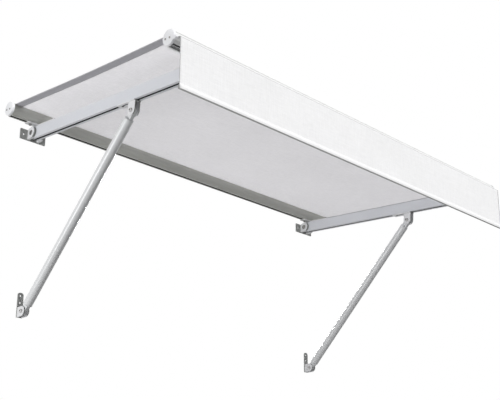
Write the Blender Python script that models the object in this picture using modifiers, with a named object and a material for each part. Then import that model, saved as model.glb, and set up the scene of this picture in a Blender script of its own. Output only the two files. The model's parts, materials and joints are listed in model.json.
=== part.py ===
"""Wall-mounted fabric awning with two slanted support struts.

Two hinged side rails carry two parallel cloth tubes. A cloth is stretched between the tubes,
and a straight valance hangs from the front tube. Each strut runs from a wall bracket up to a
clevis that slides along the T-slot under its rail and sets the slope of the canopy.

The wall is the plane y = 0, the room side is -y, +z is up, and z = 0 is the height of the
upper pivots. The canopy is drawn in its own tilted frame, whose x axis is the line through
both upper pivots: in that frame -y runs down the slope and +z stands square to the cloth.
"""
import math

import bmesh
import bpy
from mathutils import Matrix, Vector

# Driving dimensions of the whole awning, in metres and degrees
TUBE_LENGTH = 1.968
RAIL_INSET = 0.139
TUBE_SPACING = 1.000
CANOPY_SLOPE = math.radians(5.0)
WALL_TO_UPPER_PIVOT = 0.030
WALL_TO_LOWER_PIVOT = 0.0355
PIVOT_DROP = 0.757
SLIDER_REACH = 0.661
VALANCE_DROP = 0.192

# Clearances
FIT = 0.0003
PIVOT_PLAY = 0.0003
EAR_PLAY = 0.0004
SLIDE_PLAY = 0.0004
CLOTH_PLAY = 0.0006

# Side rail: a box section with a T-slot below and one above
RAIL_WIDTH = 0.032
RAIL_HEIGHT = 0.050
RAIL_TOP = 0.027
RAIL_WALL = 0.0022
RAIL_CORNER = 0.0015
RAIL_CHAMBER_CORNER = 0.0010
SLOT_MOUTH = 0.010
SLOT_LIP = 0.0025
SLOT_DEPTH = 0.0080
RAIL_FRONT_OVERHANG = 0.022
RAIL_ROUND = 0.024
RAIL_CAP_THICKNESS = 0.003
RAIL_CAP_PLUG = 0.010

# Cloth tube: a round extrusion with a foot, two cloth grooves and a web, the front one with a nose
TUBE_RADIUS = 0.0285
TUBE_WALL = 0.0018
REAR_TUBE_REACH = 0.018
FOOT_WIDTH = 0.028
FOOT_DEPTH = 0.0295
FOOT_SLOT_MOUTH = 0.0125
FOOT_SLOT_WIDTH = 0.0200
FOOT_SLOT_LIP = 0.0025
FOOT_SLOT_DEPTH = 0.0055
GROOVE_RADIUS = 0.0040
GROOVE_MOUTH = 0.0026
GROOVE_WALL = 0.0016
GROOVE_LIP = 0.0020
CLOTH_HEIGHT = 0.0164
NOSE_RADIUS = 0.0070
NOSE_REACH = 0.0340
NOSE_DROP = 0.0070
WEB_DROP = 0.0040
WEB_THICKNESS = 0.0016
PORT_RADIUS = 0.0042
PORT_BORE = 0.0022
PORT_PLACES = (-0.0080, 0.0140)
UPPER_CHAMBER_MIDDLE = 0.0100
LOWER_CHAMBER_MIDDLE = -0.0130

# End cap of a tube and its screws
CAP_THICKNESS = 0.010
CAP_RADIUS = 0.0295
CAP_EDGE = 0.0015
CAP_EDGE_SHARE = 0.3
CAP_SCREW_RADIUS = 0.0019
CAP_SCREW_HOLE = 0.0023
CAP_SCREW_LENGTH = 0.024
CAP_SCREW_POINT = 0.002
CAP_SCREW_HEAD_RADIUS = 0.0040
CAP_SCREW_HEAD_HEIGHT = 0.0024
CAP_SCREW_RIM = 0.0008
CAP_SCREW_CROWN = 0.0030
CAP_SCREW_RECESS = 0.0018
CAP_SCREW_RECESS_DEPTH = 0.0013
CUT_TAPER = 0.8
CROWN_SHARE = 0.85

# T-plate that ties a tube to a rail
PLATE_THICKNESS = 0.0035
PLATE_BAR_LENGTH = 0.124
PLATE_BAR_WIDTH = 0.036
PLATE_STEM_LENGTH = 0.110
PLATE_CORNER = 0.003
PLATE_BOLT_SPREAD = 0.090
PLATE_STEM_BOLT_INSET = 0.018
PLATE_BOLT_RADIUS = 0.0030
PLATE_BOLT_HOLE = 0.0033
PLATE_NUT_FLATS = 0.0100
PLATE_NUT_HEIGHT = 0.0050
HAMMER_LENGTH = 0.0170
HAMMER_WIDTH = 0.0070
HAMMER_HEIGHT = 0.0032

# Cloth and valance
CLOTH_THICKNESS = 0.0011
CLOTH_BEAD_RADIUS = 0.0033
CLOTH_END_GAP = 0.0010
HEM_WIDTH = 0.035
HEM_THICKNESS = 0.0008
HEM_END_GAP = 0.0020
VALANCE_STAND_OFF = 0.0031
VALANCE_POCKET_HEIGHT = 0.0160
VALANCE_POCKET_DEPTH = 0.0058
BAR_HEIGHT = 0.0125
BAR_DEPTH = 0.0030
BAR_CORNER = 0.0010

# Upper wall bracket with its hinge
UPPER_PLATE_LENGTH = 0.121
UPPER_PLATE_TOP = 0.019
UPPER_PLATE_BOTTOM = 0.027
UPPER_PLATE_THICKNESS = 0.004
UPPER_PLATE_CORNER = 0.003
UPPER_HOLE_SPREAD = 0.086
UPPER_EAR_THICKNESS = 0.0110
UPPER_EAR_RADIUS = 0.0245
UPPER_BOLT_RADIUS = 0.0050
UPPER_BOLT_FLATS = 0.0170
UPPER_RECESS_RADIUS = 0.0112
UPPER_RECESS_DEPTH = 0.0066
KNUCKLE_REACH = 0.090
KNUCKLE_TAIL = 0.015
KNUCKLE_CORNER = 0.002

# Strut, its clevises and their bolts
STRUT_RADIUS = 0.0185
STRUT_WALL = 0.0016
STRUT_END_INSET = 0.037
STRUT_COLLAR = 0.0030
STRUT_PLUG_LENGTH = 0.028
STRUT_CROWN_HEIGHT = 0.004
STRUT_CROWN_RADIUS = 0.0112
PLUG_CHAMFER = 0.001
TONGUE_THICKNESS = 0.0144
TONGUE_RADIUS = 0.0140
CLEVIS_EAR_THICKNESS = 0.0045
CLEVIS_EAR_RADIUS = 0.020
CLEVIS_BOLT_RADIUS = 0.0040
CLEVIS_BOLT_FLATS = 0.0130

# Clevis that slides under the rail
SLIDER_DROP = 0.039
SLIDER_FLANGE_THICKNESS = 0.0040
SLIDER_FLANGE_TAIL = 0.088
SLIDER_CORNER = 0.003
SLIDER_SLOT_WIDTH = 0.012
SLIDER_SLOT_LENGTH = 0.040
SLIDER_SLOT_START = 0.033
SLIDER_BOLT_RADIUS = 0.0030
SLIDER_NUT_FLATS = 0.0100
SLIDER_NUT_HEIGHT = 0.0050

# Lower wall bracket
LOWER_PLATE_WIDTH = 0.0264
LOWER_PLATE_THICKNESS = 0.0040
LOWER_PLATE_RISE = 0.081
LOWER_PLATE_CORNER = 0.0100
LOWER_HOLES = (0.0403, 0.0688)
SCREW_HOLE_RADIUS = 0.0035
COUNTERSINK_RADIUS = 0.0052

# Bolt parts in common
BOLT_HEAD_HEIGHT = 0.0055
WASHER_HEIGHT = 0.0012
WASHER_MARGIN = 0.0016
BOLT_END = 0.0020
BOLT_POINT_SHARE = 0.8
NUT_OVERRUN = 0.0030
HEX_CHAMFER = 0.0008

SIDES = (("left", -1.0), ("right", 1.0))
ARC_STEP = math.radians(15.0)
SMALL_STEP = math.radians(30.0)
SMALL_SIDES = 8
FULL_ROUND = 0.96
LEAST_FLAT = 0.00005
BORE_SIDES = 16
STRUT_SIDES = 24
CAP_SIDES = 24
CHAMBER_RAYS = 40

# Places that follow from the dimensions
RAIL_SPACING = TUBE_LENGTH - 2 * RAIL_INSET
CLEVIS_GAP = TONGUE_THICKNESS + 2 * EAR_PLAY
RAIL_BOTTOM = RAIL_TOP - RAIL_HEIGHT
TUBE_AXIS_HEIGHT = RAIL_TOP + PLATE_THICKNESS + FOOT_DEPTH + 2 * FIT
FRONT_TUBE_REACH = REAR_TUBE_REACH + TUBE_SPACING
RAIL_END = FRONT_TUBE_REACH + RAIL_FRONT_OVERHANG
SLIDER_PIVOT_HEIGHT = RAIL_BOTTOM - SLIDER_DROP
UPPER_EAR_GAP = RAIL_WIDTH + 2 * EAR_PLAY
UPPER_PIVOT = Vector((0.0, -WALL_TO_UPPER_PIVOT, 0.0))
LOWER_PIVOT = Vector((0.0, -WALL_TO_LOWER_PIVOT, -PIVOT_DROP))
GROOVE_EDGE = math.sqrt(TUBE_RADIUS**2 - (CLOTH_HEIGHT + GROOVE_MOUTH / 2) ** 2)
GROOVE_CENTRE = GROOVE_EDGE - GROOVE_RADIUS - GROOVE_LIP

# Frames with the extrusion along x, along -y and along z
ALONG_X = Matrix(((0, 0, 1, 0), (1, 0, 0, 0), (0, 1, 0, 0), (0, 0, 0, 1)))
ALONG_Y = Matrix(((1, 0, 0, 0), (0, 0, -1, 0), (0, 1, 0, 0), (0, 0, 0, 1)))
ALONG_Z = Matrix.Identity(4)


def clear_scene():
    for item in list(bpy.data.objects):
        bpy.data.objects.remove(item, do_unlink=True)


def make_collection(name):
    group = bpy.data.collections.new(name)
    bpy.context.scene.collection.children.link(group)
    return group


def make_material(name, colour, roughness, metallic):
    """One Principled material for one kind of sub-part."""
    finish = bpy.data.materials.new(name)
    finish.use_nodes = True
    shader = finish.node_tree.nodes["Principled BSDF"]
    shader.inputs["Base Color"].default_value = (*colour, 1.0)
    shader.inputs["Roughness"].default_value = roughness
    shader.inputs["Metallic"].default_value = metallic
    finish.diffuse_color = (*colour, 1.0)
    return finish


clear_scene()
PARTS = make_collection("fabric_awning")
CUTTERS = make_collection("cutters")
FINISH = {
    "white_coat": make_material("white_coat", (0.62, 0.63, 0.64), 0.45, 0.0),
    "bracket": make_material("bracket", (0.74, 0.75, 0.76), 0.42, 0.0),
    "casting": make_material("casting", (0.50, 0.51, 0.53), 0.5, 0.0),
    "strut": make_material("strut", (0.70, 0.71, 0.73), 0.32, 0.6),
    "cap": make_material("cap", (0.78, 0.78, 0.79), 0.5, 0.0),
    "steel": make_material("steel", (0.32, 0.33, 0.34), 0.35, 1.0),
    "cloth": make_material("cloth", (0.62, 0.62, 0.63), 0.9, 0.0),
    "valance": make_material("valance", (0.88, 0.88, 0.88), 0.9, 0.0),
}


def arc(centre, radius, start, end, step=ARC_STEP):
    """Points along an arc in the drawing plane, from angle start to angle end."""
    count = max(2, round(abs(end - start) / step))
    turns = [start + (end - start) * i / count for i in range(count + 1)]
    return [(centre[0] + radius * math.cos(a), centre[1] + radius * math.sin(a)) for a in turns]


def circle(centre, radius, count=BORE_SIDES):
    """A closed ring of points on a circle."""
    turns = [2 * math.pi * i / count for i in range(count)]
    return [(centre[0] + radius * math.cos(a), centre[1] + radius * math.sin(a)) for a in turns]


def rounded_rectangle(low, high, radius):
    """A rectangle from corner low to corner high, with round corners that leave a flat."""
    shortest = min(high[0] - low[0], high[1] - low[1])
    radius = min(radius, shortest / 2 - LEAST_FLAT)
    centres = ((high[0] - radius, high[1] - radius), (low[0] + radius, high[1] - radius),
               (low[0] + radius, low[1] + radius), (high[0] - radius, low[1] + radius))
    points = []
    for turn, centre in enumerate(centres):
        start = turn * math.pi / 2
        points += arc(centre, radius, start, start + math.pi / 2, SMALL_STEP)
    return points


def ear_outline(root, radius, low, high):
    """Side view of an ear: a straight root at y = root and a round end about the origin.

    low and high are the heights of its root edge. The flanks run straight to the round end.
    """
    return [(root, low), (root, high)] + arc((0, 0), radius, math.pi / 2, 3 * math.pi / 2)


def mesh_object(name, mesh, finish, parent, matrix=ALONG_Z, group=PARTS):
    """A finished mesh as a named object, placed by matrix in its parent's frame."""
    item = bpy.data.objects.new(name, mesh)
    group.objects.link(item)
    mesh.materials.clear()
    mesh.materials.append(FINISH[finish])
    item.parent = parent
    item.matrix_local = matrix
    return item


def shade(item, angle=math.radians(35)):
    item.data.shade_smooth()
    item.data.set_sharp_from_angle(angle=angle)


def extruded_mesh(name, outlines, low, high):
    """A flat drawing swept along its normal from low to high. Inner outlines are holes."""
    drawing = bpy.data.curves.new(name, "CURVE")
    drawing.dimensions = "2D"
    drawing.fill_mode = "BOTH"
    drawing.extrude = (high - low) / 2
    for outline in outlines:
        spline = drawing.splines.new("POLY")
        spline.points.add(len(outline) - 1)
        for point, place in zip(spline.points, outline):
            point.co = (place[0], place[1], 0.0, 1.0)
        spline.use_cyclic_u = True
    sketch = bpy.data.objects.new(name, drawing)
    bpy.context.scene.collection.objects.link(sketch)
    graph = bpy.context.evaluated_depsgraph_get()
    mesh = bpy.data.meshes.new_from_object(sketch.evaluated_get(graph))
    bpy.data.objects.remove(sketch)
    bpy.data.curves.remove(drawing)
    work = bmesh.new()
    work.from_mesh(mesh)
    bmesh.ops.remove_doubles(work, verts=work.verts, dist=0.00001)
    bmesh.ops.translate(work, verts=work.verts, vec=(0, 0, (high + low) / 2))
    bmesh.ops.recalc_face_normals(work, faces=work.faces)
    work.to_mesh(mesh)
    work.free()
    return mesh


def extrude(name, outlines, low, high, matrix, finish, parent, group=PARTS):
    """A drawing swept from low to high, as an object placed by matrix in its parent's frame."""
    mesh = extruded_mesh(name, outlines, low, high)
    return mesh_object(name, mesh, finish, parent, matrix, group)


def turned_mesh(name, profile, steps):
    """A solid of revolution about z. The profile runs from the top to the bottom at +x."""
    mesh = bpy.data.meshes.new(name)
    work = bmesh.new()
    points = [work.verts.new((radius, 0, height)) for radius, height in profile]
    for first, second in zip(points, points[1:]):
        work.edges.new((first, second))
    work.to_mesh(mesh)
    work.free()
    blank = bpy.data.objects.new(name, mesh)
    bpy.context.scene.collection.objects.link(blank)
    screw = blank.modifiers.new("turn", "SCREW")
    screw.steps = steps
    screw.render_steps = steps
    screw.use_merge_vertices = True
    screw.merge_threshold = 0.00001
    graph = bpy.context.evaluated_depsgraph_get()
    solid = bpy.data.meshes.new_from_object(blank.evaluated_get(graph))
    bpy.data.objects.remove(blank)
    return solid


def lofted_mesh(name, sections):
    """A solid skinned through rings of equal count, each given as (height, ring of points)."""
    mesh = bpy.data.meshes.new(name)
    work = bmesh.new()
    rings = [[work.verts.new((x, y, height)) for x, y in ring] for height, ring in sections]
    for lower, upper in zip(rings, rings[1:]):
        count = len(lower)
        for i in range(count):
            j = (i + 1) % count
            work.faces.new((lower[i], lower[j], upper[j], upper[i]))
    work.faces.new(reversed(rings[0]))
    work.faces.new(rings[-1])
    bmesh.ops.recalc_face_normals(work, faces=work.faces)
    work.to_mesh(mesh)
    work.free()
    return mesh


def combine(item, tool, operation):
    """Applies one exact Boolean to the item and removes the tool."""
    tool.display_type = "WIRE"
    tool.hide_render = True
    change = item.modifiers.new(operation.lower(), "BOOLEAN")
    change.operation = operation
    change.solver = "EXACT"
    change.object = tool
    bpy.context.view_layer.update()
    graph = bpy.context.evaluated_depsgraph_get()
    result = bpy.data.meshes.new_from_object(item.evaluated_get(graph))
    item.modifiers.clear()
    old = item.data
    item.data = result
    bpy.data.meshes.remove(old)
    bpy.data.objects.remove(tool)
    return item


def box_tool(low, high, parent):
    """A box from corner low to corner high in its parent's frame, to add or to cut with."""
    outline = [(low[0], low[1]), (high[0], low[1]), (high[0], high[1]), (low[0], high[1])]
    return extrude("tool", [outline], low[2], high[2], ALONG_Z, "steel", parent, CUTTERS)


def drill(item, radius, low, high, matrix, parent, count=BORE_SIDES):
    """Cuts a round hole along the matrix's own z axis, from low to high."""
    tool = extrude("tool", [circle((0, 0), radius, count)], low, high, matrix, "steel",
                   parent, CUTTERS)
    return combine(item, tool, "DIFFERENCE")


def countersink(item, depth, matrix, parent):
    """Cuts a screw hole with a countersink at z = 0 of the matrix, going down by depth."""
    sink = COUNTERSINK_RADIUS - SCREW_HOLE_RADIUS
    over = sink / 2
    profile = [(0, over), (COUNTERSINK_RADIUS + over, over), (SCREW_HOLE_RADIUS, -sink),
               (SCREW_HOLE_RADIUS, -depth - over), (0, -depth - over)]
    tool = mesh_object("tool", turned_mesh("tool", profile, BORE_SIDES), "steel", parent, matrix,
                       CUTTERS)
    return combine(item, tool, "DIFFERENCE")


def make_frame(name, place, turn=0.0, parent=None):
    """An empty that carries a moving group. Its x axis is the group's hinge."""
    empty = bpy.data.objects.new(name, None)
    PARTS.objects.link(empty)
    empty.parent = parent
    empty.location = place
    empty.rotation_euler = (turn, 0.0, 0.0)
    bpy.context.view_layer.update()
    return empty


def at(x, y, z, frame=ALONG_Z):
    return Matrix.Translation((x, y, z)) @ frame


def outward(side):
    """The frame whose z axis points away from the middle of the awning on that side."""
    return ALONG_X if side > 0 else ALONG_X @ Matrix.Rotation(math.pi, 4, "X")


def ring_round(radius, count=12):
    return circle((0, 0), radius, count)


def ring_hexagon(flats, count=12):
    """A hexagon given by its width across flats, drawn with a point at each corner and flat."""
    points = []
    for i in range(count):
        reach = flats / 2 if i % 2 else flats / math.sqrt(3)
        turn = 2 * math.pi * i / count
        points.append((reach * math.cos(turn), reach * math.sin(turn)))
    return points


def ring_rectangle(length, width):
    """A rectangle of twelve points that line up with a round ring of twelve."""
    corner = math.radians(30)
    points = []
    for i in range(12):
        turn = corner * i
        x = max(-1.0, min(1.0, math.cos(turn) / math.cos(corner)))
        y = max(-1.0, min(1.0, math.sin(turn) / math.sin(corner)))
        points.append((x * length / 2, y * width / 2))
    return points


def through_bolt_mesh(name, radius, flats, grip):
    """A hexagon bolt along z with its washers and nut, clamping from -grip/2 to +grip/2."""
    half = grip / 2
    washer = flats / 2 + WASHER_MARGIN
    head_start = half + WASHER_HEIGHT
    head_end = head_start + BOLT_HEAD_HEIGHT
    sections = [
        (-head_end - BOLT_END, ring_round(radius * BOLT_POINT_SHARE)),
        (-head_end, ring_round(radius)),
        (-head_end, ring_hexagon(flats)),
        (-head_start, ring_hexagon(flats)),
        (-head_start, ring_round(washer)),
        (-half, ring_round(washer)),
        (-half, ring_round(radius)),
        (half, ring_round(radius)),
        (half, ring_round(washer)),
        (head_start, ring_round(washer)),
        (head_start, ring_hexagon(flats)),
        (head_end - HEX_CHAMFER, ring_hexagon(flats)),
        (head_end, ring_hexagon(flats - 2 * HEX_CHAMFER)),
    ]
    return lofted_mesh(name, sections)


def hammer_bolt_mesh(name, radius, flats, nut_height, head_top, seat, end):
    """A T-bolt along z. Its hammer head ends at head_top, and its nut bears up at seat."""
    washer = flats / 2 + WASHER_MARGIN
    sections = [
        (end, ring_round(radius)),
        (seat - WASHER_HEIGHT - nut_height, ring_round(radius)),
        (seat - WASHER_HEIGHT - nut_height, ring_hexagon(flats)),
        (seat - WASHER_HEIGHT, ring_hexagon(flats)),
        (seat - WASHER_HEIGHT, ring_round(washer)),
        (seat, ring_round(washer)),
        (seat, ring_round(radius)),
        (head_top - HAMMER_HEIGHT, ring_round(radius)),
        (head_top - HAMMER_HEIGHT, ring_rectangle(HAMMER_LENGTH, HAMMER_WIDTH)),
        (head_top, ring_rectangle(HAMMER_LENGTH, HAMMER_WIDTH)),
    ]
    return lofted_mesh(name, sections)


def slot_pocket(mouth, inner, lip, depth, edge, sign):
    """The walls of a T-slot open at height edge, from the +x side round to the -x side.

    sign is +1 for a slot that opens upward and -1 for one that opens downward.
    """
    half_mouth, half_inner = mouth / 2, inner / 2
    lip_level = edge - sign * lip
    floor = lip_level - sign * depth
    return [(half_mouth, edge), (half_mouth, lip_level), (half_inner, lip_level),
            (half_inner, floor), (-half_inner, floor), (-half_inner, lip_level),
            (-half_mouth, lip_level), (-half_mouth, edge)]


def rail_outlines():
    """Section of the rail in x and z: the outside with both T-slots, and the hollow middle."""
    half = RAIL_WIDTH / 2
    inner = RAIL_WIDTH - 2 * RAIL_WALL
    low, high = RAIL_BOTTOM, RAIL_TOP
    corner = RAIL_CORNER
    step = math.radians(30)
    right_top = arc((half - corner, high - corner), corner, 0, math.pi / 2, step)
    left_top = arc((-half + corner, high - corner), corner, math.pi / 2, math.pi, step)
    left_low = arc((-half + corner, low + corner), corner, math.pi, 1.5 * math.pi, step)
    right_low = arc((half - corner, low + corner), corner, 1.5 * math.pi, 2 * math.pi, step)
    top_slot = slot_pocket(SLOT_MOUTH, inner, SLOT_LIP, SLOT_DEPTH, high, 1)
    low_slot = slot_pocket(SLOT_MOUTH, inner, SLOT_LIP, SLOT_DEPTH, low, -1)
    outside = right_top + top_slot + left_top + left_low + low_slot[::-1] + right_low
    floor = SLOT_LIP + SLOT_DEPTH + RAIL_WALL
    chamber = rounded_rectangle((-inner / 2, low + floor), (inner / 2, high - floor),
                                RAIL_CHAMBER_CORNER)
    return outside, chamber


def keyhole(centre, direction, radius, mouth, lip):
    """Walls of a round cloth groove, from its lip on the left of direction to the other.

    centre is the groove's axis, direction the way its mouth opens, lip how far out it ends.
    """
    turn = math.atan2(direction[1], direction[0])
    side = (-math.sin(turn), math.cos(turn))
    half = mouth / 2
    open_angle = math.asin(half / radius)
    tip_left = [centre[k] + direction[k] * lip + side[k] * half for k in (0, 1)]
    tip_right = [centre[k] + direction[k] * lip - side[k] * half for k in (0, 1)]
    bore = arc(centre, radius, turn + open_angle, turn + 2 * math.pi - open_angle, SMALL_STEP)
    return [tuple(tip_left)] + bore + [tuple(tip_right)]


def ray_to_circle(origin, heading, centre, radius, far):
    """Distance from origin along heading to a circle, its near or far side, or None."""
    dx, dy = centre[0] - origin[0], centre[1] - origin[1]
    along = dx * heading[0] + dy * heading[1]
    miss = dx * dx + dy * dy - along * along
    if miss >= radius * radius:
        return None
    reach = math.sqrt(radius * radius - miss)
    distance = along + reach if far else along - reach
    return distance if distance > 0 else None


def chamber_outline(middle, floor_height, floor_side, bumps, count=CHAMBER_RAYS):
    """Inner wall of one tube chamber: how far each ray from its middle runs before a wall.

    floor_height is the web's face, floor_side +1 where the chamber lies above it and -1 below,
    and bumps are the round walls that stand into the chamber.
    """
    points = []
    for i in range(count):
        turn = 2 * math.pi * i / count
        heading = (math.cos(turn), math.sin(turn))
        inside = TUBE_RADIUS - TUBE_WALL
        reaches = [ray_to_circle(middle, heading, (0, 0), inside, True)]
        for centre, radius in bumps:
            reaches.append(ray_to_circle(middle, heading, centre, radius, False))
        if heading[1] * floor_side < 0:
            reaches.append((floor_height - middle[1]) / heading[1])
        if floor_side < 0 and heading[1] < 0:
            block = -FOOT_DEPTH + FOOT_SLOT_LIP + FOOT_SLOT_DEPTH + TUBE_WALL
            distance = (block - middle[1]) / heading[1]
            if abs(middle[0] + heading[0] * distance) < FOOT_SLOT_WIDTH / 2 + TUBE_WALL:
                reaches.append(distance)
        reach = min(r for r in reaches if r is not None)
        points.append((middle[0] + heading[0] * reach, middle[1] + heading[1] * reach))
    return points


def nose_outline():
    """The front tube's nose and its bead groove, from above the nose round to below it."""
    nose = (-NOSE_REACH, -NOSE_DROP)
    lip = math.sqrt(NOSE_RADIUS**2 - (GROOVE_MOUTH / 2) ** 2)
    groove = keyhole(nose, (-1, 0), GROOVE_RADIUS, GROOVE_MOUTH, lip)
    mouth_turn = math.asin(GROOVE_MOUTH / 2 / NOSE_RADIUS)
    upper = arc(nose, NOSE_RADIUS, math.pi / 2, math.pi - mouth_turn)[:-1]
    lower = arc(nose, NOSE_RADIUS, math.pi + mouth_turn, 1.5 * math.pi)[1:]
    return upper + groove[::-1] + lower


def tube_outlines(with_nose):
    """Section of a cloth tube in y and z about its axis: outside, two chambers, two ports."""
    radius = TUBE_RADIUS
    groove = (GROOVE_CENTRE, CLOTH_HEIGHT)
    lip = GROOVE_RADIUS + GROOVE_LIP
    right_groove = keyhole(groove, (1, 0), GROOVE_RADIUS, GROOVE_MOUTH, lip)
    left_groove = keyhole((-groove[0], groove[1]), (-1, 0), GROOVE_RADIUS, GROOVE_MOUTH, lip)

    half_foot = FOOT_WIDTH / 2
    foot_turn = math.asin(half_foot / radius)
    top = math.asin((CLOTH_HEIGHT + GROOVE_MOUTH / 2) / radius)
    under = math.asin((CLOTH_HEIGHT - GROOVE_MOUTH / 2) / radius)
    nose_top = math.pi + math.asin((NOSE_DROP - NOSE_RADIUS) / radius)
    nose_low = math.pi + math.asin((NOSE_DROP + NOSE_RADIUS) / radius)
    left_foot = 1.5 * math.pi - foot_turn

    outside = arc((0, 0), radius, top, math.pi - top)[1:-1]
    outside += left_groove[::-1]
    if with_nose:
        outside += arc((0, 0), radius, math.pi - under, nose_top)
        outside += nose_outline()
        outside += arc((0, 0), radius, nose_low, left_foot)
    else:
        outside += arc((0, 0), radius, math.pi - under, left_foot)
    foot = slot_pocket(FOOT_SLOT_MOUTH, FOOT_SLOT_WIDTH, FOOT_SLOT_LIP, FOOT_SLOT_DEPTH,
                       -FOOT_DEPTH, -1)
    outside += [(-half_foot, -FOOT_DEPTH)] + foot[::-1] + [(half_foot, -FOOT_DEPTH)]
    outside += arc((0, 0), radius, -math.pi / 2 + foot_turn, under)
    outside += right_groove[::-1]

    wall = GROOVE_RADIUS + GROOVE_WALL
    ports = [((y, -WEB_DROP), PORT_RADIUS) for y in PORT_PLACES]
    grooves = [((side * GROOVE_CENTRE, CLOTH_HEIGHT), wall) for side in (-1, 1)]
    web_top = -WEB_DROP + WEB_THICKNESS / 2
    web_low = -WEB_DROP - WEB_THICKNESS / 2
    upper = chamber_outline((0, UPPER_CHAMBER_MIDDLE), web_top, 1, ports + grooves)
    lower = chamber_outline((0, LOWER_CHAMBER_MIDDLE), web_low, -1, ports)
    bores = [circle((y, -WEB_DROP), PORT_BORE, SMALL_SIDES) for y in PORT_PLACES]
    return [outside, upper, lower] + bores


def make_tube(name, reach, with_nose, canopy):
    tube = extrude(name, tube_outlines(with_nose), -TUBE_LENGTH / 2, TUBE_LENGTH / 2,
                   at(0, -reach, TUBE_AXIS_HEIGHT, ALONG_X), "white_coat", canopy)
    shade(tube)


def cap_outline(inset, with_nose):
    """Outline of a tube end cap in y and z: the round body and any nose, drawn in by inset."""
    radius = CAP_RADIUS - inset
    if not with_nose:
        return circle((0, 0), radius, CAP_SIDES)
    nose_radius = NOSE_RADIUS + (CAP_RADIUS - TUBE_RADIUS) / 2 - inset
    nose = (-NOSE_REACH, -NOSE_DROP)
    top = math.pi + math.asin((NOSE_DROP - nose_radius) / radius)
    low = math.pi + math.asin((NOSE_DROP + nose_radius) / radius)
    points = arc((0, 0), radius, low, 2 * math.pi + top, ARC_STEP)
    return points + arc(nose, nose_radius, math.pi / 2, 1.5 * math.pi, math.radians(30))


def make_cap(name, reach, side, with_nose, canopy):
    """The moulded cap on one end of a tube, with its two screws."""
    start = TUBE_LENGTH / 2 + FIT
    end = start + CAP_THICKNESS
    flat = cap_outline(0.0, with_nose)
    bevel = CAP_EDGE * CAP_EDGE_SHARE
    edge = [(end - CAP_EDGE, flat), (end - bevel, cap_outline(bevel, with_nose)),
            (end, cap_outline(CAP_EDGE, with_nose))]
    sections = [(side * x, ring) for x, ring in [(start, flat)] + edge]
    matrix = at(0, -reach, TUBE_AXIS_HEIGHT, ALONG_X)
    cap = mesh_object(name, lofted_mesh(name, sections), "cap", canopy, matrix)
    for number, place in enumerate(PORT_PLACES, 1):
        hole = at(0, -reach + place, TUBE_AXIS_HEIGHT - WEB_DROP, outward(side))
        drill(cap, CAP_SCREW_HOLE, start - FIT, end + FIT, hole, canopy, SMALL_SIDES)
        seat = Matrix.Translation((0, 0, end + FIT))
        mesh_object(f"{name}_screw_{number}", cap_screw_mesh(name), "steel", canopy, hole @ seat)
    shade(cap)


def cap_screw_mesh(name):
    """A pan-head screw along z, its head's underside at z = 0."""
    head, height = CAP_SCREW_HEAD_RADIUS, CAP_SCREW_HEAD_HEIGHT
    recess_floor = height - CAP_SCREW_RECESS_DEPTH
    profile = [(0, recess_floor), (CAP_SCREW_RECESS * CUT_TAPER, recess_floor),
               (CAP_SCREW_RECESS, height), (CAP_SCREW_CROWN, height * CROWN_SHARE),
               (head, CAP_SCREW_RIM), (head, 0),
               (CAP_SCREW_RADIUS, 0), (CAP_SCREW_RADIUS, -CAP_SCREW_LENGTH + CAP_SCREW_POINT),
               (0, -CAP_SCREW_LENGTH)]
    return turned_mesh(name, profile, SMALL_SIDES)


def make_rail(name, x, canopy):
    """The hollow rail. Its wall end is rounded about the pivot and bored for the pivot bolt."""
    rail = extrude(name, rail_outlines(), -RAIL_ROUND, RAIL_END, at(x, 0, 0, ALONG_Y),
                   "white_coat", canopy)
    spare = RAIL_TOP - RAIL_BOTTOM
    behind = [(0, -spare)] + arc((0, 0), RAIL_ROUND, -math.pi / 2, math.pi / 2)
    behind += [(0, spare), (spare, spare), (spare, -spare)]
    waste = extrude("tool", [behind], -RAIL_WIDTH, RAIL_WIDTH, at(x, 0, 0, ALONG_X),
                    "white_coat", canopy, CUTTERS)
    combine(rail, waste, "DIFFERENCE")
    hole = UPPER_BOLT_RADIUS + PIVOT_PLAY
    drill(rail, hole, -RAIL_WIDTH, RAIL_WIDTH, at(x, 0, 0, ALONG_X), canopy)


def chamber_limits():
    """Half width, low and high edge of a plug that slides into the rail's hollow middle."""
    floor = SLOT_LIP + SLOT_DEPTH + RAIL_WALL + SLIDE_PLAY
    half = RAIL_WIDTH / 2 - RAIL_WALL - SLIDE_PLAY
    return half, RAIL_BOTTOM + floor, RAIL_TOP - floor


def make_knuckle(name, x, canopy):
    """The cast block in the rail's wall end, which carries the pivot bolt between the ears."""
    half, low, high = chamber_limits()
    outline = rounded_rectangle((-KNUCKLE_REACH, low), (KNUCKLE_TAIL, high), KNUCKLE_CORNER)
    bore = circle((0, 0), UPPER_BOLT_RADIUS + PIVOT_PLAY)
    extrude(name, [outline, bore], -half, half, at(x, 0, 0, ALONG_X), "casting", canopy)


def make_rail_cap(name, x, canopy):
    """The flat cap on the front end of a rail, with a short plug in the hollow middle."""
    half, low, high = chamber_limits()
    outline = rounded_rectangle((-RAIL_WIDTH / 2, RAIL_BOTTOM), (RAIL_WIDTH / 2, RAIL_TOP),
                                RAIL_CORNER)
    cap = extrude(name, [outline], RAIL_END + FIT, RAIL_END + FIT + RAIL_CAP_THICKNESS,
                  at(x, 0, 0, ALONG_Y), "cap", canopy)
    plug = box_tool((x - half, -RAIL_END - 2 * FIT, low),
                    (x + half, -RAIL_END + RAIL_CAP_PLUG, high), canopy)
    combine(cap, plug, "UNION")


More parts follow.
